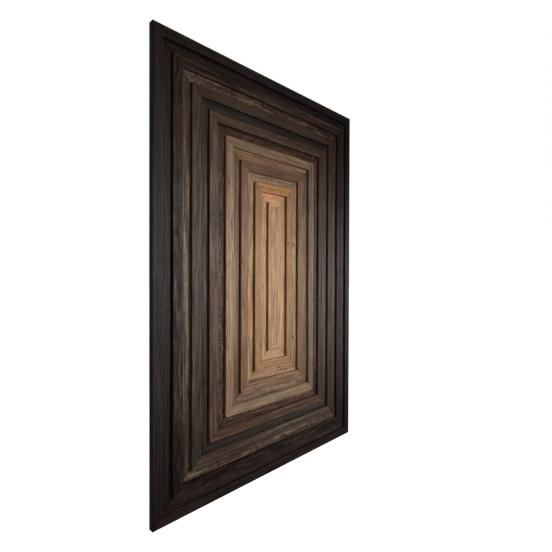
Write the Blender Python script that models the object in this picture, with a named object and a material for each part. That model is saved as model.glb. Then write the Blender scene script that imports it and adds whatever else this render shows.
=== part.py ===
"""Wooden wall panel: nested mitred oak frames around an upright centre slab.

Metres, +Z up. The panel hangs with its back in the plane Y = 0 and its face towards -Y, and the
origin is the centre of its back. Frame 1 is the border. The wide frames stand proud and set back
by turns, so the face is stepped. Inside the last of them, a narrow frame lies flush around the
centre slab, and both stand proud.
"""
import math

import bmesh
import bpy

# Driving dimensions
FRAME_COUNT = 14
STRIP_WIDTH = 0.0264
NARROW_STRIP_WIDTH = 0.013
SLAB_WIDTH = 0.0258
SLAB_HEIGHT = 0.4258
BOARD_THICKNESS = 0.006
LOW_STRIP_THICKNESS = 0.0052
HIGH_STRIP_THICKNESS = 0.0117
GLUE_LINE = 0.0003
ARRIS = 0.0008

# A piece's back lies a glue line in front of the board
STRIP_BACK = BOARD_THICKNESS + GLUE_LINE
# Cutting one mitre back by this much leaves half a glue line beside it
MITRE_RELIEF = GLUE_LINE / 2 * math.sqrt(2)

# Finishes: sRGB colour and roughness
FINISHES = {
    "ebonised_oak": ("#2B2523", 0.55),
    "charcoal_oak": ("#3A322E", 0.55),
    "smoked_oak": ("#6B5647", 0.55),
    "umber_oak": ("#574539", 0.55),
    "bog_oak": ("#46393A", 0.55),
    "fumed_oak": ("#6E5747", 0.55),
    "russet_oak": ("#5A4137", 0.55),
    "olive_oak": ("#98805F", 0.55),
    "golden_oak": ("#94714F", 0.55),
    "rose_oak": ("#9A7761", 0.55),
    "grey_oak": ("#AD8F72", 0.55),
    "honey_oak": ("#B98A5F", 0.55),
    "natural_oak": ("#C79F76", 0.55),
    "stained_board": ("#211C1A", 0.7),
}
# From the border to the last wide frame
FRAME_FINISHES = ["ebonised_oak", "ebonised_oak", "charcoal_oak", "smoked_oak", "umber_oak",
                  "bog_oak", "fumed_oak", "russet_oak", "olive_oak", "golden_oak", "rose_oak",
                  "grey_oak", "honey_oak", "natural_oak"]
CENTRE_FINISH = "natural_oak"
BOARD_FINISH = "stained_board"


def linear(channel):
    """One sRGB channel, 0 to 1, as linear light."""
    if channel <= 0.04045:
        return channel / 12.92
    return ((channel + 0.055) / 1.055) ** 2.4


def finish(name):
    """The Principled material of one finish, made once and shared."""
    if name in bpy.data.materials:
        return bpy.data.materials[name]
    colour, roughness = FINISHES[name]
    channels = [linear(int(colour[i:i + 2], 16) / 255) for i in (1, 3, 5)]
    material = bpy.data.materials.new(name)
    material.use_nodes = True
    shader = material.node_tree.nodes["Principled BSDF"]
    shader.inputs["Base Color"].default_value = (*channels, 1)
    shader.inputs["Roughness"].default_value = roughness
    shader.inputs["Metallic"].default_value = 0
    return material


def frame_finish(number):
    """The finish of a wide frame, spread evenly from the border to the centre."""
    steps = max(FRAME_COUNT - 1, 1)
    place = (number - 1) * (len(FRAME_FINISHES) - 1) / steps
    return FRAME_FINISHES[round(place)]


def planed_piece(name, faces, thickness, back, finish_name):
    """A flat piece: the (x, z) faces of its plan, run forward from its back, with an arris in front."""
    shape = bmesh.new()
    corners = {}
    for face in faces:
        for x, z in face:
            if (x, z) not in corners:
                corners[x, z] = shape.verts.new((x, -back, z))
        shape.faces.new([corners[point] for point in face])
    outline = [edge for edge in shape.edges if edge.is_boundary]
    outline_ends = [{vert.co.xz[:] for vert in edge.verts} for edge in outline]
    run = bmesh.ops.extrude_face_region(shape, geom=shape.faces[:])
    front = [item for item in run["geom"] if isinstance(item, bmesh.types.BMVert)]
    bmesh.ops.translate(shape, vec=(0, -thickness, 0), verts=front)
    front_edges = [edge for edge in shape.edges if all(vert in front for vert in edge.verts)]
    arrises = [edge for edge in front_edges if {vert.co.xz[:] for vert in edge.verts} in outline_ends]
    bmesh.ops.bevel(shape, geom=arrises, offset=ARRIS, segments=1, affect="EDGES")
    bmesh.ops.recalc_face_normals(shape, faces=shape.faces)
    mesh = bpy.data.meshes.new(name)
    shape.to_mesh(mesh)
    shape.free()
    mesh.materials.append(finish(finish_name))
    piece = bpy.data.objects.new(name, mesh)
    bpy.context.scene.collection.objects.link(piece)
    return piece


def narrow_frame_reach():
    """Half the outer width and half the outer height of the narrow frame."""
    margin = NARROW_STRIP_WIDTH + GLUE_LINE
    return SLAB_WIDTH / 2 + margin, SLAB_HEIGHT / 2 + margin


def frame_reach(number):
    """Half the outer width and half the outer height of a wide frame."""
    half_width, half_height = narrow_frame_reach()
    margin = (FRAME_COUNT - number + 1) * (STRIP_WIDTH + GLUE_LINE)
    return half_width + margin, half_height + margin


def rectangle(half_width, half_height):
    """The corners of an upright rectangle about the centre, clockwise from the top left."""
    return [(-half_width, half_height), (half_width, half_height),
            (half_width, -half_height), (-half_width, -half_height)]


def mitred_strip(half_length, reach, quarter_turns):
    """The corners of one strip, whose outer edge lies at reach above the centre before it is turned."""
    outer = half_length - MITRE_RELIEF
    inner = outer - STRIP_WIDTH
    inner_reach = reach - STRIP_WIDTH
    points = [(-outer, reach), (outer, reach), (inner, inner_reach), (-inner, inner_reach)]
    for _ in range(quarter_turns):
        points = [(z, -x) for x, z in points]
    return points


def make_wide_frame(number):
    """The four mitred strips of one wide frame."""
    half_width, half_height = frame_reach(number)
    stands_proud = number % 2 == 1
    thickness = HIGH_STRIP_THICKNESS if stands_proud else LOW_STRIP_THICKNESS
    for quarter_turns, side in enumerate(("top", "right", "bottom", "left")):
        lies_flat = side in ("top", "bottom")
        half_length = half_width if lies_flat else half_height
        reach = half_height if lies_flat else half_width
        plan = mitred_strip(half_length, reach, quarter_turns)
        name = f"frame_{number:02d}_{side}"
        planed_piece(name, [plan], thickness, STRIP_BACK, frame_finish(number))


def make_narrow_frame():
    """The narrow frame around the slab, its four strips glued up as one."""
    half_width, half_height = narrow_frame_reach()
    outer = rectangle(half_width, half_height)
    inner = rectangle(half_width - NARROW_STRIP_WIDTH, half_height - NARROW_STRIP_WIDTH)
    strips = []
    for here in range(len(outer)):
        there = (here + 1) % len(outer)
        strips.append([outer[here], outer[there], inner[there], inner[here]])
    planed_piece("narrow_frame", strips, HIGH_STRIP_THICKNESS, STRIP_BACK, CENTRE_FINISH)


def make_slab():
    """The upright slab in the middle."""
    plan = rectangle(SLAB_WIDTH / 2, SLAB_HEIGHT / 2)
    planed_piece("centre_slab", [plan], HIGH_STRIP_THICKNESS, STRIP_BACK, CENTRE_FINISH)


def make_board():
    """The backing board, flush with the border's outer edges."""
    plan = rectangle(*frame_reach(1))
    planed_piece("backing_board", [plan], BOARD_THICKNESS, 0, BOARD_FINISH)


def main():
    for item in list(bpy.data.objects):
        bpy.data.objects.remove(item, do_unlink=True)
    make_board()
    for number in range(1, FRAME_COUNT + 1):
        make_wide_frame(number)
    make_narrow_frame()
    make_slab()


main()
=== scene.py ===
"""Wooden wall panel: nested mitred frames of stained oak around a pale upright slab.

Metres, +Z up, the face towards -Y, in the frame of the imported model.
"""
import math
import random

import bmesh
import bpy
import numpy as np
from mathutils import Matrix, Vector


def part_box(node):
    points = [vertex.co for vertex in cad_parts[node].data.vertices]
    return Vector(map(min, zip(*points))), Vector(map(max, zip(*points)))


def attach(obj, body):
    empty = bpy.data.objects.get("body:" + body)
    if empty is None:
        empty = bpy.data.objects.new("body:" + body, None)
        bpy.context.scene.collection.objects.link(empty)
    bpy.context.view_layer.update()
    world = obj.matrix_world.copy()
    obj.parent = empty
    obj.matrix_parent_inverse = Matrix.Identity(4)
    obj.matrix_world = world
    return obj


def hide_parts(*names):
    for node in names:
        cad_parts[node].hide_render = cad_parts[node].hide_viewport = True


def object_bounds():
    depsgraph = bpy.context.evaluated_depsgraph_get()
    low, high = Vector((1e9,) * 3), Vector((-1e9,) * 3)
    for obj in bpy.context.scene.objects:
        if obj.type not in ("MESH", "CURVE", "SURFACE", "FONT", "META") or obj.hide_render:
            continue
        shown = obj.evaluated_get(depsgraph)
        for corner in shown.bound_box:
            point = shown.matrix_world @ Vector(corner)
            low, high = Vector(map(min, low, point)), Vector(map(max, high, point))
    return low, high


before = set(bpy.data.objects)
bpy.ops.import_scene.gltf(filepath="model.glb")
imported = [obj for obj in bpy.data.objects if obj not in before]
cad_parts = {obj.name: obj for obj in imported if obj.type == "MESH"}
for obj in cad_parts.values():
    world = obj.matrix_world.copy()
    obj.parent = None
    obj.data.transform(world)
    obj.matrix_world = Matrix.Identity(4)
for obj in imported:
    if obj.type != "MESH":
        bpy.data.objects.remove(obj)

CAD_LOW, CAD_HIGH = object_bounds()

MM = 0.001
FRONT = Vector((0, -1, 0))
# Outwards from the centre, seen from the front
SIDES = {
    "top": Vector((0, 0, 1)),
    "right": Vector((1, 0, 0)),
    "bottom": Vector((0, 0, -1)),
    "left": Vector((-1, 0, 0)),
}

# Joinery
GLUE_LINE = 0.3 * MM
# What half a glue line takes off a strip, measured along it, at each mitre
MITRE_RELIEF = GLUE_LINE / 2 * math.sqrt(2)
ARRIS = 0.8 * MM
# The arris is lighter across the mitres, which are cut after the strip is planed
MITRE_ARRIS_SHARE = 0.4
ARRIS_SEGMENTS = 2

# Raised grain, brushed into the face
GRAIN_STEP = 9 * MM
RIDGE_STEP = 2.2 * MM
GRAIN_HEIGHT = 0.1 * MM
RIDGE_LENGTH = 70 * MM
RIDGE_WIDTH = 3.5 * MM
# How many ridges off a strip's pattern may start
RIDGE_REACH = 5
SMOOTH_ANGLE = math.radians(20)

# How near is near enough, when edges and faces are picked by their direction or place
PARALLEL = 0.999
FLAT = 0.9999
TOUCHING = 0.01 * MM

# How much lighter the long edges are: a painted highlight where the arris catches the light,
# stronger on one strip
EDGE_HIGHLIGHT = 1.15
EDGE_HIGHLIGHTS = {"frame_07_left": 1.9}
# How near to where the arris ends a point gets the painted highlight
HIGHLIGHT_REACH = 0.05 * MM

# The wood's marks: how far apart they are along the grain and across it. Pores and fine lines
# are drawn coarser than real ones, so that they still show.
PORES = (26 * MM, 3 * MM)
FINE_LINES = (260 * MM, 4 * MM)
STREAKS = (900 * MM, 8 * MM)
BLUSHES = (320 * MM, 9 * MM)
PATCHES = (90 * MM, 14 * MM)
FLECK_DASHES = (20 * MM, 3.6 * MM)
FLECK_CURLS = (13 * MM, 5 * MM)
FLECK_CHANGE = (120 * MM, 24 * MM)
# The values of their noise, which lies around a half, between which they fade in
PORE_FADE = (0.5, 0.64)
LINE_FADE = (0.38, 0.62)
STREAK_FADE = (0.4, 0.6)
BLUSH_FADE = (0.46, 0.58)
PATCH_FADE = (0.35, 0.65)
FLECK_FADE = (0.43, 0.57)
FLECK_CHANGE_FADE = (0.42, 0.5)
# How far the ray flecks are turned off the grain, in degrees, and how much they shade the wood
DASH_TURN = 15
CURL_TURN = 60
FLECK_SHADE = 0.35

# Growth rings: their width, the share of a year that is early wood, and how unevenly they run.
# Real rings are 2 to 3 mm wide, and these are drawn wider, so that they still show.
RING_WIDTH = 6.5 * MM
EARLY_WOOD_SHARE = 0.5
RING_DRIFT = (260 * MM, 30 * MM)
RING_RIPPLE = (70 * MM, 9 * MM)
# By how many years their drift, their ripple and a knot can shift them
DRIFT_YEARS = 5
RIPPLE_YEARS = 1
KNOT_YEARS = 2.5
# How open a pore in the late wood is, beside one in the early wood
LATE_WOOD_PORES = 0.3

# Knots: how fine their ragged rim is, and how far from their middle, in half sizes of the knot,
# their darkness fades and the grain around them straightens
KNOT_ROUGHNESS = 2.5 * MM
KNOT_FADE = (0.7, 1.8)
SWERVE_FADE = (0.5, 4)

# The oiled surface: how rough it is on the smooth wood and in a pore, and how much it reflects
OAK_ROUGHNESS = (0.6, 0.8)
OAK_IOR = 1.5
OAK_SHINE = 0.3
# Its relief: how deep a pore is, how high the early wood stands where the late wood stands 1, and
# how strongly this is drawn
PORE_DEPTH = 0.25 * MM
EARLY_WOOD_HEIGHT = 0.6
OAK_RELIEF = 0.5

# Where a strip may have lain in its log: the distance of the pith in millimetres, its turn and its
# lean in degrees, and how far along, in metres of an endless log
PITH_DISTANCES = (30, 120)
PITH_TURNS = (20, 90)
PITH_LEANS = (-2, 2)
LOG_REACH = 20

# The camera, from the panel's corners and step lines in the photograph
PHOTO_SIDE = 552
FOCAL_PIXELS = 376.4
SENSOR_WIDTH = 36
CAMERA_PLACE = Vector((-0.8133, -0.8454, 0.0113))
CAMERA_YAW = math.radians(44.7)
CAMERA_PITCH = math.radians(-0.46)
CAMERA_ROLL = math.radians(0.169)
NEAREST_SEEN = 10 * MM

# The studio: how bright its white is to the camera and how dim its light is on the wood, and the
# floor's colour, roughness and size, and how far it lies below the panel
WHITE = "#FFFFFF"
BACKDROP_LIGHT = 1
ROOM_LIGHT = 0.13
FLOOR_COLOUR = "#F4F4F2"
FLOOR_ROUGHNESS = 0.9
FLOOR_GLOW = 1
FLOOR_SIZE = 40
FLOOR_DROP = 0.25


# Colour and nodes

def linear(hex_colour):
    """An sRGB hex colour as linear red, green, blue and full alpha."""
    channels = []
    for start in (1, 3, 5):
        value = int(hex_colour[start:start + 2], 16) / 255
        channels.append(value / 12.92 if value <= 0.04045 else ((value + 0.055) / 1.055) ** 2.4)
    return (*channels, 1)


def add_node(tree, kind, inputs=(), output=0, **settings):
    """Adds a node with its settings and gives back one of its outputs.

    Its inputs, in order or by name, are linked to a socket or set to a value.
    """
    node = tree.nodes.new(kind)
    for name, value in settings.items():
        setattr(node, name, value)
    named = inputs if isinstance(inputs, dict) else dict(enumerate(inputs))
    for name, value in named.items():
        if isinstance(value, bpy.types.NodeSocket):
            tree.links.new(value, node.inputs[name])
        else:
            node.inputs[name].default_value = value
    return node.outputs[output] if node.outputs else None


def new_material(name):
    """A material with its node tree and its shader."""
    material = bpy.data.materials.new(name)
    material.use_nodes = True
    return material, material.node_tree, material.node_tree.nodes["Principled BSDF"]


# Finishes of planed oak: the wood's ground colour, the colour of its streaks, the colour of its
# blushes, and how strong its rings, its fine lines, its ray flecks and its cloudy patches are.
# The colours were fitted by comparing renders with the photograph.
FINISHES = {
    # Blackened with iron, which leaves it nearly black, with streaks of plain grey
    "ebonised_oak": dict(ground="#302621", streak="#3C3A3A", blush="#412F28",
                         rings=0.36, lines=0.43, flecks=0.00, clouds=0.16),
    # Stained black-brown, with the strongest lines of all, in grey and rust
    "charcoal_oak": dict(ground="#302319", streak="#524843", blush="#442D25",
                         rings=0.65, lines=0.73, flecks=0.50, clouds=0.24),
    # Smoked to a mid brown, and lively, with pale streaks, curls, a crack and a knot
    "smoked_oak": dict(ground="#615141", streak="#91806E", blush="#755B4B",
                       rings=0.48, lines=0.54, flecks=0.70, clouds=0.22),
    # Stained a quiet, even earth brown
    "umber_oak": dict(ground="#584737", streak="#5F5445", blush="#614B40",
                      rings=0.21, lines=0.41, flecks=0.10, clouds=0.18),
    # Dark brown with cool grey streaks, like oak that has lain in a bog
    "bog_oak": dict(ground="#453428", streak="#514C46", blush="#49372E",
                    rings=0.36, lines=0.56, flecks=0.15, clouds=0.18),
    # Fumed to a soft warm brown
    "fumed_oak": dict(ground="#5B4732", streak="#6F5845", blush="#6E4E3B",
                      rings=0.29, lines=0.46, flecks=0.15, clouds=0.18),
    # Stained a deep warm brown, with redder blushes, and dappled all over by its ray flecks
    "russet_oak": dict(ground="#4E3623", streak="#705135", blush="#4A342C",
                       rings=0.42, lines=0.52, flecks=1.30, clouds=0.26),
    # Limed thinly, which leaves a dull tan with yellower streaks
    "olive_oak": dict(ground="#988269", streak="#AD9773", blush="#A27F65",
                      rings=0.24, lines=0.24, flecks=0.05, clouds=0.12),
    # Oiled over a light stain, brown with golden streaks
    "golden_oak": dict(ground="#876C56", streak="#A4845C", blush="#8B6B53",
                       rings=0.32, lines=0.41, flecks=0.20, clouds=0.14),
    # Oiled over a light stain, an even brown with slightly rosy blushes
    "rose_oak": dict(ground="#876B4D", streak="#917151", blush="#8E6952",
                     rings=0.10, lines=0.25, flecks=0.05, clouds=0.12),
    # Weathered, greyer than the oak on both sides of it, with golden streaks and small knots
    "grey_oak": dict(ground="#A48A70", streak="#C1A676", blush="#B18660",
                     rings=0.30, lines=0.39, flecks=0.20, clouds=0.14),
    # Oiled only, honey-coloured and calm, with one small knot
    "honey_oak": dict(ground="#B1895E", streak="#C19763", blush="#BD8658",
                      rings=0.16, lines=0.09, flecks=0.00, clouds=0.08),
    # Oiled only, the palest of all, a warm straw colour
    "natural_oak": dict(ground="#D1A678", streak="#DFB480", blush="#D6A577",
                        rings=0.22, lines=0.22, flecks=0.00, clouds=0.08),
}
# From the border inwards
FRAME_FINISHES = [
    "ebonised_oak", "ebonised_oak", "charcoal_oak", "smoked_oak", "umber_oak", "bog_oak",
    "fumed_oak", "russet_oak", "olive_oak", "golden_oak", "rose_oak", "grey_oak", "honey_oak",
    "natural_oak",
]
CENTRE_FINISH = "natural_oak"
BOARD_FINISH = "stained_board"

# What the oil does to the early wood, the pores and the knots
EARLY_WOOD_BROWN = "#7E604C"
PORE_BROWN = "#94745E"
KNOT_BROWN = "#5A3A28"
PORE_STRENGTH = 0.65
KNOT_STRENGTH = 0.9

# Knots and scars in some finishes: the place across the panel and its height, and half the width
# and height of the dark spot, in millimetres
MARKS = {
    "smoked_oak": [(-163, 508, 3, 15), (46, -507, 13, 4.5)],
    "grey_oak": [(90, 103, 7, 8), (89, -198, 4.5, 8), (27, -285, 5.5, 3.5), (38, -293.5, 5.5, 3.5),
                 (22, -293.5, 4.5, 3), (54, -295.5, 5.5, 3.5)],
    "honey_oak": [(60, 106, 3.6, 5)],
}

# How much lighter or darker each strip is than its finish, in steps of 0.05, fitted by the same
# comparison. Besides each board's own shade they hold painted light: in most frames the bottom
# strip is lighter than the top one, as the light falls on them.
STRIP_TONES = {
    1: dict(left=0.95, right=0.7, top=0.8, bottom=1.3),
    2: dict(left=0.8, right=1.5, top=0.7, bottom=2),
    3: dict(left=0.9, right=0.9, top=1.5, bottom=0.9),
    4: dict(left=0.85, right=0.8, top=1.1, bottom=1.4),
    5: dict(right=0.75, top=0.9, bottom=1.7),
    6: dict(left=0.9, right=2, top=0.55, bottom=1.15),
    7: dict(left=1.15, right=0.75, top=0.9, bottom=1.25),
    8: dict(top=0.6, bottom=1.65),
    9: dict(left=1.15, right=0.7, bottom=1.3),
    10: dict(left=0.8, right=0.85, top=1.25, bottom=1.2),
    11: dict(left=1.15, top=0.7, bottom=1.3),
    12: dict(left=1.05, top=0.8, bottom=1.25),
    13: dict(left=0.95, right=0.85, top=1.05, bottom=1.15),
    14: dict(left=0.85, right=0.85, top=1.15, bottom=1.05),
}
NARROW_TONES = dict(left=0.85, right=0.9, top=1, bottom=0.85)
SLAB_TONE = 0.85

# How much warmer some strips are than their finish, fitted likewise
STRIP_WARMTH = {
    1: dict(left=0.95, top=0.85, bottom=1.15),
    2: dict(left=1.05, top=0.9),
    3: dict(left=0.95, bottom=1.1),
    4: dict(left=1.05),
    5: dict(left=0.95),
    6: dict(left=1.1),
    7: dict(left=0.9, right=0.9),
    8: dict(right=0.95, top=1.25, bottom=0.95),
    10: dict(right=1.05, top=1.05, bottom=0.95),
    11: dict(top=1.1, bottom=0.95),
    12: dict(left=1.1, top=0.95),
    13: dict(left=0.95, top=1.15, bottom=0.95),
    14: dict(top=1.05, bottom=0.95),
}
SLAB_WARMTH = 0.96
# Warmth multiplies the red, and divides the blue by this power of itself
BLUE_LOSS = 1.5

# How some strips lay in the log, for their arched or slanted figure: the distance of the pith in
# millimetres, its turn away from behind the face and its lean off the strip, in degrees
FIGURED_STRIPS = {
    "frame_03_left": (24, 25, 3.5),
    "frame_03_bottom": (18, 5, 3),
    "frame_04_top": (30, 20, -2),
    "frame_05_left": (22, 12, -2),
    "frame_08_left": (26, 15, 3),
    "frame_09_left": (34, 30, 2.5),
    "frame_10_bottom": (24, 10, 2),
    "frame_12_left": (26, 20, -2.5),
    "frame_14_left": (26, 25, -3),
    "centre_slab": (16, 6, 2.4),
}

# How much stronger or weaker the ray flecks of some strips are than their finish's
FLECK_STRENGTHS = {
    "frame_04_left": 0.7,
    "frame_04_right": 0.7,
    "frame_04_top": 1.7,
    "frame_04_bottom": 1.7,
    "frame_08_top": 1.2,
}

# The backing board: its stain and its surface, its plies and how dark and light they are, and
# its streaks, to the metre across and along, and how dark and light they are
BOARD_STAIN = "#2E2724"
BOARD_ROUGHNESS = 0.7
BOARD_RELIEF = 0.3
BOARD_DEPTH = 0.2 * MM
OUTER_PLY = 1.5 * MM
PLY_BLUR = 0.5 * MM
PLY_SHADES = (0.8, 1.1)
VENEER_STREAKS = (60, 4)
VENEER_FADE = (0.3, 0.7)
VENEER_SHADES = (0.75, 1.25)


def grain_noise(tree, place, size, detail=2, turn=0):
    """Noise drawn out along the grain, or turned off it by some degrees in the face. From one of
    its shapes to the next it is about this length and this width."""
    length, width = size
    drawn_out = add_node(tree, "ShaderNodeMapping", {
        "Vector": place, "Rotation": (0, 0, math.radians(turn)), "Scale": (length, width, width)},
        vector_type="TEXTURE")
    return add_node(tree, "ShaderNodeTexNoise", {"Vector": drawn_out, "Scale": 1, "Detail": detail})


def knots_and_scars(tree, marks):
    """Two values about the marks of a finish: how dark their spots are, and how far the grain
    bends round them."""
    here = add_node(tree, "ShaderNodeTexCoord", output="Object")
    rough = add_node(tree, "ShaderNodeTexNoise", {"Vector": here, "Scale": 1 / KNOT_ROUGHNESS})
    spot = 0.0
    bend = 0.0
    for x, z, half_width, half_height in marks:
        offset = add_node(tree, "ShaderNodeVectorMath", (here, (x * MM, 0, z * MM)),
                          operation="SUBTRACT")
        shape = add_node(tree, "ShaderNodeVectorMath",
                         (offset, (1 / (half_width * MM), 0, 1 / (half_height * MM))),
                         operation="MULTIPLY")
        reach = add_node(tree, "ShaderNodeVectorMath", (shape,), "Value", operation="LENGTH")
        # The roughness adds about a half, so the spot is gone a third beyond its size
        uneven = add_node(tree, "ShaderNodeMath", (reach, rough), operation="ADD")
        darkness = add_node(tree, "ShaderNodeMapRange", (uneven, *KNOT_FADE, 1, 0))
        swerve = add_node(tree, "ShaderNodeMapRange", (reach, *SWERVE_FADE, 1, 0),
                          interpolation_type="SMOOTHSTEP")
        spot = add_node(tree, "ShaderNodeMath", (spot, darkness), operation="MAXIMUM")
        bend = add_node(tree, "ShaderNodeMath", (bend, swerve), operation="MAXIMUM")
    return spot, bend


def early_wood_bands(tree, place, bend):
    """The porous early wood, strongest where a year starts and gone by its middle.

    The years are counted outwards from the pith, uneven, wavy, and bent round the knots.
    """
    across = add_node(tree, "ShaderNodeVectorMath", (place, (0, 1, 1)), operation="MULTIPLY")
    reach = add_node(tree, "ShaderNodeVectorMath", (across,), "Value", operation="LENGTH")
    years = add_node(tree, "ShaderNodeMath", (reach, RING_WIDTH), operation="DIVIDE")
    for shift, most in (
            (grain_noise(tree, place, RING_DRIFT), DRIFT_YEARS),
            (grain_noise(tree, place, RING_RIPPLE), RIPPLE_YEARS),
            (bend, KNOT_YEARS)):
        years = add_node(tree, "ShaderNodeMath", (shift, most, years), operation="MULTIPLY_ADD")
    year = add_node(tree, "ShaderNodeMath", (years,), operation="FRACT")
    return add_node(tree, "ShaderNodeMapRange", (year, 0, EARLY_WOOD_SHARE, 1, 0))


def open_pores(tree, place, early_wood):
    """Short pores, open in the early wood and less so in the late wood.

    Real pores are 0.2 mm wide, and these are 1.5 mm wide, so that they still show.
    """
    pores = grain_noise(tree, place, PORES)
    pores = add_node(tree, "ShaderNodeMapRange", (pores, *PORE_FADE, 0, 1))
    openness = add_node(tree, "ShaderNodeMapRange", (early_wood, 0, 1, LATE_WOOD_PORES, 1))
    return add_node(tree, "ShaderNodeMath", (pores, openness), operation="MULTIPLY")


def stain(tree, place, ground, streak, blush):
    """The stain, taken up unevenly: streaks and blushes run along the grain."""
    streaks = grain_noise(tree, place, STREAKS, detail=3)
    streaks = add_node(tree, "ShaderNodeMapRange", (streaks, *STREAK_FADE, 0, 1))
    colour = add_node(tree, "ShaderNodeMix", {0: streaks, 6: linear(ground), 7: linear(streak)},
                      output=2, data_type="RGBA")
    blushes = grain_noise(tree, place, BLUSHES, detail=3)
    blushes = add_node(tree, "ShaderNodeMapRange", (blushes, *BLUSH_FADE, 0, 1))
    return add_node(tree, "ShaderNodeMix", {0: blushes, 6: colour, 7: linear(blush)},
                    output=2, data_type="RGBA")


def oil(tree, colour, early_wood, rings, pores, spot):
    """The oil, which darkens and browns what soaks it up: porous wood and knots."""
    for mask, strength, brown in (
            (early_wood, rings, EARLY_WOOD_BROWN),
            (pores, PORE_STRENGTH, PORE_BROWN),
            (spot, KNOT_STRENGTH, KNOT_BROWN)):
        share = add_node(tree, "ShaderNodeMath", (mask, strength), operation="MULTIPLY")
        colour = add_node(tree, "ShaderNodeMix", {0: share, 6: colour, 7: linear(brown)},
                          output=2, data_type="RGBA", blend_type="MULTIPLY")
    return colour


def ray_flecks(tree, place):
    """Marks off the grain, where the saw ran along the wood's rays: slanted dashes in some
    places, and short curls across the grain in others."""
    dashes = grain_noise(tree, place, FLECK_DASHES, turn=DASH_TURN)
    curls = grain_noise(tree, place, FLECK_CURLS, turn=CURL_TURN)
    where = grain_noise(tree, place, FLECK_CHANGE)
    where = add_node(tree, "ShaderNodeMapRange", (where, *FLECK_CHANGE_FADE, 0, 1))
    return add_node(tree, "ShaderNodeMix", {0: where, 2: dashes, 3: curls})


def shades(tree, place, lines, flecks, clouds):
    """What makes the wood lighter and darker: fine lines, cloudy patches, and ray flecks if the
    finish has them. A shade of 1 changes nothing."""
    fine = grain_noise(tree, place, FINE_LINES)
    patches = grain_noise(tree, place, PATCHES)
    found = [
        add_node(tree, "ShaderNodeMapRange", (fine, *LINE_FADE, 1 - lines, 1 + lines)),
        add_node(tree, "ShaderNodeMapRange", (patches, *PATCH_FADE, 1 - clouds, 1 + clouds)),
    ]
    if flecks:
        rays = add_node(tree, "ShaderNodeMapRange", (ray_flecks(tree, place), *FLECK_FADE, -1, 1))
        strength = add_node(tree, "ShaderNodeAttribute", output="Fac", attribute_name="flecks")
        rays = add_node(tree, "ShaderNodeMath", (rays, strength), operation="MULTIPLY")
        found.append(add_node(tree, "ShaderNodeMath", (rays, flecks * FLECK_SHADE, 1.0),
                              operation="MULTIPLY_ADD"))
    return found


def oak(name, ground, streak, blush, rings, lines, flecks, clouds):
    """Planed and brushed oak, stained and oiled: porous early wood in dark lines, streaks and
    blushes along the grain, short open pores, and on some boards cross flecks. The oil soaks in
    and leaves the surface nearly matt."""
    material, tree, shader = new_material(name)
    place = add_node(tree, "ShaderNodeAttribute", output="Vector", attribute_name="log")
    tone = add_node(tree, "ShaderNodeAttribute", output="Vector", attribute_name="tone")
    spot, bend = knots_and_scars(tree, MARKS.get(name, ()))
    early_wood = early_wood_bands(tree, place, bend)
    pores = open_pores(tree, place, early_wood)
    colour = stain(tree, place, ground, streak, blush)
    colour = oil(tree, colour, early_wood, rings, pores, spot)
    colour = add_node(tree, "ShaderNodeVectorMath", (colour, tone), operation="MULTIPLY")
    for shade in shades(tree, place, lines, flecks, clouds):
        colour = add_node(tree, "ShaderNodeVectorMath", {0: colour, "Scale": shade},
                          operation="SCALE")
    tree.links.new(colour, shader.inputs["Base Color"])

    roughness = add_node(tree, "ShaderNodeMapRange", (pores, 0, 1, *OAK_ROUGHNESS))
    tree.links.new(roughness, shader.inputs["Roughness"])
    wood = add_node(tree, "ShaderNodeMapRange", (early_wood, 0, 1, 1, EARLY_WOOD_HEIGHT))
    relief = add_node(tree, "ShaderNodeMath", (wood, pores), operation="SUBTRACT")
    bump = add_node(tree, "ShaderNodeBump", {
        "Height": relief, "Strength": OAK_RELIEF, "Distance": PORE_DEPTH})
    tree.links.new(bump, shader.inputs["Normal"])
    shader.inputs["IOR"].default_value = OAK_IOR
    shader.inputs["Specular IOR Level"].default_value = OAK_SHINE
    return material


def stained_board():
    """Birch plywood under black-brown stain: a plain back with soft streaks, and edges where a
    lighter ply lies between two dark ones."""
    material, tree, shader = new_material(BOARD_FINISH)
    place = add_node(tree, "ShaderNodeTexCoord", output="Object")
    across, along = VENEER_STREAKS
    veneer = add_node(tree, "ShaderNodeMapping", {"Vector": place, "Scale": (across, 1, along)})
    figure = add_node(tree, "ShaderNodeTexNoise", {"Vector": veneer, "Scale": 1, "Detail": 4})
    deep = add_node(tree, "ShaderNodeSeparateXYZ", (place,), "Y")
    from_outside = add_node(tree, "ShaderNodeMath", (deep, 2 * OUTER_PLY), operation="PINGPONG")
    plies = add_node(tree, "ShaderNodeMapRange", (
        from_outside, OUTER_PLY - PLY_BLUR, OUTER_PLY + PLY_BLUR, *PLY_SHADES))
    streaks = add_node(tree, "ShaderNodeMapRange", (figure, *VENEER_FADE, *VENEER_SHADES))
    shade = add_node(tree, "ShaderNodeMath", (streaks, plies), operation="MULTIPLY")
    colour = add_node(tree, "ShaderNodeVectorMath", {0: linear(BOARD_STAIN)[:3], "Scale": shade},
                      operation="SCALE")
    tree.links.new(colour, shader.inputs["Base Color"])
    shader.inputs["Roughness"].default_value = BOARD_ROUGHNESS
    bump = add_node(tree, "ShaderNodeBump", {
        "Height": figure, "Strength": BOARD_RELIEF, "Distance": BOARD_DEPTH})
    tree.links.new(bump, shader.inputs["Normal"])
    return material


# Joinery

def blank(name, low, high):
    """A sawn blank that fills a box. Its place is in its mesh."""
    bpy.ops.object.select_all(action="DESELECT")
    bpy.ops.mesh.primitive_cube_add(size=1, location=(low + high) / 2, scale=high - low)
    bpy.ops.object.transform_apply(location=True, rotation=True, scale=True)
    piece = bpy.context.object
    piece.name = name
    piece.data.name = name
    return piece


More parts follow.
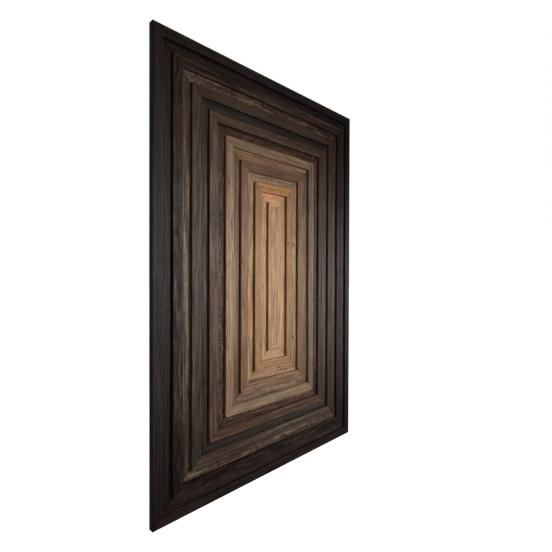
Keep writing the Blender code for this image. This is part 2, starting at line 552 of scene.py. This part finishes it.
def select_edges(piece, wanted):
    """In edit mode, selects the edges whose two ends pass the test."""
    bpy.ops.mesh.select_mode(type="EDGE")
    bpy.ops.mesh.select_all(action="DESELECT")
    shape = bmesh.from_edit_mesh(piece.data)
    for edge in shape.edges:
        if wanted(edge.verts[0].co, edge.verts[1].co):
            edge.select_set(True)
    bmesh.update_edit_mesh(piece.data)


def runs_along(direction):
    """A test for edges parallel to a direction."""
    def test(start, end):
        edge = end - start
        return abs(edge.dot(direction)) > PARALLEL * edge.length
    return test


def lies_at(depth):
    """A test for edges at one depth of the panel, such as that of a face."""
    def test(start, end):
        return max(abs(start.y - depth), abs(end.y - depth)) < TOUCHING
    return test


def mitre(low, high, outward, along):
    """In edit mode, cuts both ends of a strip back at 45 degrees from its outer edge."""
    middle = (low + high) / 2
    half = (high - low) / 2
    for end in (-1, 1):
        corner = middle + outward * abs(half.dot(outward)) + along * end * abs(half.dot(along))
        bpy.ops.mesh.select_all(action="SELECT")
        bpy.ops.mesh.bisect(plane_co=corner, plane_no=(along * end - outward).normalized(),
                            use_fill=True, clear_outer=True)


def ease_edges(piece, face_y, along):
    """Takes the sharpness off the edges around the face, less so across the ends."""
    weights = piece.data.attributes.new("bevel_weight_edge", "FLOAT", "EDGE")
    in_face = lies_at(face_y)
    lengthwise = runs_along(along)
    for edge in piece.data.edges:
        ends = [piece.data.vertices[index].co for index in edge.vertices]
        if in_face(*ends):
            weights.data[edge.index].value = 1 if lengthwise(*ends) else MITRE_ARRIS_SHARE
    bevel = piece.modifiers.new("arris", "BEVEL")
    bevel.limit_method = "WEIGHT"
    bevel.offset_type = "OFFSET"
    bevel.width = ARRIS
    bevel.segments = ARRIS_SEGMENTS
    bpy.ops.object.modifier_apply(modifier=bevel.name)


def divide_face(piece, face_y, along, length, width):
    """Divides the strip along the grain, and its face across it."""
    bpy.ops.object.mode_set(mode="EDIT")
    select_edges(piece, runs_along(along))
    bpy.ops.mesh.subdivide(number_cuts=round(length / GRAIN_STEP))
    in_face = lies_at(face_y)
    lengthwise = runs_along(along)
    select_edges(piece, lambda start, end: in_face(start, end) and not lengthwise(start, end))
    bpy.ops.mesh.subdivide(number_cuts=round(width / RIDGE_STEP))
    bpy.ops.object.mode_set(mode="OBJECT")


def brush_face(piece, along, chance):
    """Raises the grain of the face by a brushed tenth of a millimetre."""
    mesh = piece.data
    rim = set()
    for polygon in mesh.polygons:
        if polygon.normal.dot(FRONT) < FLAT:
            rim.update(polygon.vertices)
    face = piece.vertex_groups.new(name="face")
    face.add([vertex.index for vertex in mesh.vertices if vertex.index not in rim], 1, "REPLACE")
    guide = bpy.data.objects.new("grain_guide", None)
    bpy.context.scene.collection.objects.link(guide)
    guide.scale = [RIDGE_LENGTH if abs(part) > 0.5 else RIDGE_WIDTH for part in along]
    guide.location = [chance.uniform(-RIDGE_REACH, RIDGE_REACH) for _ in range(3)]
    bpy.context.view_layer.update()
    ridges = bpy.data.textures.new("ridges", "CLOUDS")
    ridges.noise_scale = 1
    ridges.noise_depth = 2
    brushing = piece.modifiers.new("brushing", "DISPLACE")
    brushing.vertex_group = face.name
    brushing.texture = ridges
    brushing.texture_coords = "OBJECT"
    brushing.texture_coords_object = guide
    brushing.direction = "Y"
    brushing.mid_level = 0.5
    brushing.strength = GRAIN_HEIGHT * 2
    bpy.ops.object.modifier_apply(modifier=brushing.name)
    piece.vertex_groups.clear()
    bpy.data.objects.remove(guide)
    bpy.data.textures.remove(ridges)


def points_from(piece, middle):
    """The piece's points, one a row, seen from its middle."""
    points = np.empty(len(piece.data.vertices) * 3)
    piece.data.vertices.foreach_get("co", points)
    return points.reshape(-1, 3) - np.array(middle)


def saw_from_log(piece, middle, along, outward, chance, pith, turn, lean):
    """Gives each point its place in the log the piece was sawn from, along, across and deep.

    The pith runs beside the piece, at that distance. A turn of 0 puts it behind the face, which
    gives arched grain, and 90 degrees beside it, which gives straight grain. The lean is how far
    the pith runs off the piece's own line.
    """
    points = points_from(piece, middle)
    lengthwise = points @ np.array(along)
    across = points @ np.array(outward)
    deep = points @ np.array(FRONT)
    place = np.stack([
        lengthwise + chance.uniform(-LOG_REACH, LOG_REACH),
        across - pith * math.sin(turn),
        deep + pith * math.cos(turn) + lengthwise * math.tan(lean),
    ], axis=1)
    log = piece.data.attributes.new("log", "FLOAT_VECTOR", "POINT")
    log.data.foreach_set("vector", place.ravel())


def set_tone(piece, tone, warmth, edge_highlight, middle, outward, width):
    """Marks how light and how warm the piece is against its finish, as red, green and blue.

    It is lighter along the face's long edges, a painted highlight where the arris catches the
    light.
    """
    across = points_from(piece, middle) @ np.array(outward)
    # The points where the arris meets the face, which get the painted highlight
    highlighted = np.isclose(width / 2 - np.abs(across), ARRIS, atol=HIGHLIGHT_REACH)
    lightness = np.where(highlighted, tone * edge_highlight, tone)
    colours = np.outer(lightness, (warmth, 1, warmth ** -BLUE_LOSS))
    mark = piece.data.attributes.new("tone", "FLOAT_VECTOR", "POINT")
    mark.data.foreach_set("vector", colours.ravel())


def set_flecks(piece, strength):
    """Marks how strong the piece's ray flecks are against its finish's."""
    mark = piece.data.attributes.new("flecks", "FLOAT", "POINT")
    mark.data.foreach_set("value", [strength] * len(piece.data.vertices))


def finish_piece(piece, material, node):
    """Gives a piece its finish and its place in the model."""
    piece.data.materials.clear()
    piece.data.materials.append(material)
    bpy.ops.object.shade_smooth_by_angle(angle=SMOOTH_ANGLE)
    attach(piece, "root")
    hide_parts(node)


def log_place(node, chance):
    """How a piece lay in its log: as listed, or else by chance, sawn through or quartered."""
    if node in FIGURED_STRIPS:
        pith, turn, lean = FIGURED_STRIPS[node]
    else:
        pith = chance.uniform(*PITH_DISTANCES)
        turn = chance.uniform(*PITH_TURNS) * chance.choice((-1, 1))
        lean = chance.uniform(*PITH_LEANS)
    return dict(pith=pith * MM, turn=math.radians(turn), lean=math.radians(lean))


def make_strip(name, node, low, high, side, finishes, slot, tone, warmth=1, mitred=True):
    """One planed strip: blank, mitres, arrises, brushed face and finish."""
    chance = random.Random(name)
    outward = SIDES[side]
    along = outward.cross(FRONT)
    # The face is planed back by the height that brushing raises again
    low = low + Vector((0, GRAIN_HEIGHT, 0))
    size = high - low
    length = abs(size.dot(along))
    width = abs(size.dot(outward))
    piece = blank(name, low, high)
    if mitred:
        bpy.ops.object.mode_set(mode="EDIT")
        mitre(low, high, outward, along)
        bpy.ops.object.mode_set(mode="OBJECT")
    ease_edges(piece, low.y, along)
    divide_face(piece, low.y, along, length, width)
    brush_face(piece, along, chance)
    middle = (low + high) / 2
    saw_from_log(piece, middle, along, outward, chance, **log_place(node, chance))
    # How strong the painted highlight on the long edges is, stronger on one strip
    edge_highlight = EDGE_HIGHLIGHTS.get(node, EDGE_HIGHLIGHT)
    set_tone(piece, tone, warmth, edge_highlight, middle, outward, width)
    set_flecks(piece, FLECK_STRENGTHS.get(node, 1))
    finish_piece(piece, finishes[slot], node)


def make_wide_frames(finishes):
    """The fourteen wide frames, each of four mitred strips."""
    for number, slot in enumerate(FRAME_FINISHES, 1):
        for side in SIDES:
            node = f"frame_{number:02d}_{side}"
            low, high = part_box(node)
            tone = STRIP_TONES[number].get(side, 1)
            warmth = STRIP_WARMTH.get(number, {}).get(side, 1)
            make_strip(f"{node}_strip", node, low, high, side, finishes, slot, tone, warmth)


def make_narrow_frame(finishes):
    """The four narrow strips that lie flush around the slab."""
    low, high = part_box("narrow_frame")
    slab_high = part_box("centre_slab")[1]
    width = high.x - slab_high.x - GLUE_LINE
    for side, outward in SIDES.items():
        along = outward.cross(FRONT)
        room = Vector([abs(part) for part in along]) * MITRE_RELIEF
        strip_low = low + room
        strip_high = high - room
        for axis in (0, 2):
            if outward[axis] > 0.5:
                strip_low[axis] = strip_high[axis] - width
            if outward[axis] < -0.5:
                strip_high[axis] = strip_low[axis] + width
        make_strip(f"narrow_strip_{side}", "narrow_frame", strip_low, strip_high, side,
                   finishes, CENTRE_FINISH, NARROW_TONES[side])


def make_slab(finishes):
    """The slab in the middle, sawn near the pith, so that its grain stands in arches."""
    low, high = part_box("centre_slab")
    make_strip("centre_slab_wood", "centre_slab", low, high, "left",
               finishes, CENTRE_FINISH, SLAB_TONE, SLAB_WARMTH, mitred=False)


def make_board(finishes):
    """The backing board, with its back edges eased."""
    low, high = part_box("backing_board")
    piece = blank("backing_board_ply", low, high)
    bpy.ops.object.mode_set(mode="EDIT")
    select_edges(piece, lies_at(high.y))
    bpy.ops.mesh.bevel(offset=ARRIS, segments=ARRIS_SEGMENTS, affect="EDGES")
    bpy.ops.object.mode_set(mode="OBJECT")
    finish_piece(piece, finishes[BOARD_FINISH], "backing_board")


# Camera, light and floor

def add_camera():
    """The photograph's own view: close, from the left, at the height of the middle."""
    level = math.cos(CAMERA_PITCH)
    forward = Vector((math.sin(CAMERA_YAW) * level, math.cos(CAMERA_YAW) * level,
                      math.sin(CAMERA_PITCH)))
    level_right = Vector((math.cos(CAMERA_YAW), -math.sin(CAMERA_YAW), 0))
    upright = level_right.cross(forward)
    right = level_right * math.cos(CAMERA_ROLL) + upright * math.sin(CAMERA_ROLL)
    up = upright * math.cos(CAMERA_ROLL) - level_right * math.sin(CAMERA_ROLL)
    lens = bpy.data.cameras.new("camera")
    lens.sensor_width = SENSOR_WIDTH
    lens.lens = SENSOR_WIDTH * FOCAL_PIXELS / PHOTO_SIDE
    lens.clip_start = NEAREST_SEEN
    camera = bpy.data.objects.new("camera", lens)
    placed = Matrix((right, up, -forward)).transposed().to_4x4()
    placed.translation = CAMERA_PLACE
    camera.matrix_world = placed
    bpy.context.scene.collection.objects.link(camera)
    bpy.context.scene.camera = camera


def add_softbox(name, place, target, width, height, power, spread, roll=0, colour=WHITE):
    """An oval softbox aimed at a point. A grid keeps its light within the spread, in degrees, and
    it is rolled about its own line of sight, in degrees too."""
    data = bpy.data.lights.new(name, "AREA")
    data.shape = "ELLIPSE"
    data.size = width
    data.size_y = height
    data.energy = power
    data.color = linear(colour)[:3]
    data.spread = math.radians(spread)
    lamp = bpy.data.objects.new(name, data)
    aim = (Vector(target) - Vector(place)).to_track_quat("-Z", "Y").to_matrix().to_4x4()
    aim = aim @ Matrix.Rotation(math.radians(roll), 4, "Z")
    aim.translation = place
    lamp.matrix_world = aim
    lamp.visible_camera = False
    bpy.context.scene.collection.objects.link(lamp)


def add_lights():
    """A gridded key in front, well to the right and a little above, which fades towards the
    border, a weak warm light from above on the upper part, and one behind for the back."""
    add_softbox("key", place=(1.8, -2.3, 0.3), target=(-0.05, 0, -0.047),
                width=1, height=0.39, power=1.6, spread=22.1, roll=-30)
    add_softbox("warm", place=(0.5, -1.3, 2), target=(0.1, 0, 0.6),
                width=0.3, height=0.3, power=0.36, spread=50, colour="#FFB33F")
    # It stands within the panel's width and height, so that no edge of the panel catches it
    add_softbox("rear", place=(0.35, 2.3, 0.55), target=(0, 0, 0),
                width=1.2, height=1.2, power=20, spread=120)


def add_surroundings():
    """White to the camera, and only a dim even light on the wood."""
    scene = bpy.context.scene
    scene.view_settings.view_transform = "Standard"
    world = bpy.data.worlds.new("studio")
    world.use_nodes = True
    tree = world.node_tree
    tree.nodes.clear()
    backdrop = add_node(tree, "ShaderNodeBackground", (linear(WHITE), BACKDROP_LIGHT))
    room = add_node(tree, "ShaderNodeBackground", (linear(WHITE), ROOM_LIGHT))
    seen = add_node(tree, "ShaderNodeLightPath", output="Is Camera Ray")
    both = add_node(tree, "ShaderNodeMixShader", (seen, room, backdrop))
    add_node(tree, "ShaderNodeOutputWorld", (both,))
    scene.world = world


def add_floor():
    """A plain pale floor below the panel, bright to the camera, whose glow stays off the wood."""
    bpy.ops.object.select_all(action="DESELECT")
    bpy.ops.mesh.primitive_plane_add(size=FLOOR_SIZE, location=(0, 0, CAD_LOW.z - FLOOR_DROP))
    floor = bpy.context.object
    floor.name = "floor"
    material, _, shader = new_material("pale_floor")
    shader.inputs["Base Color"].default_value = linear(FLOOR_COLOUR)
    shader.inputs["Roughness"].default_value = FLOOR_ROUGHNESS
    shader.inputs["Emission Color"].default_value = linear(WHITE)
    shader.inputs["Emission Strength"].default_value = FLOOR_GLOW
    floor.data.materials.append(material)
    floor.visible_diffuse = False
    floor.visible_glossy = False


def main():
    """Sets up the studio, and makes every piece."""
    add_camera()
    add_surroundings()
    add_lights()
    add_floor()
    finishes = {name: oak(name, **look) for name, look in FINISHES.items()}
    finishes[BOARD_FINISH] = stained_board()
    make_board(finishes)
    make_wide_frames(finishes)
    make_narrow_frame(finishes)
    make_slab(finishes)


main()
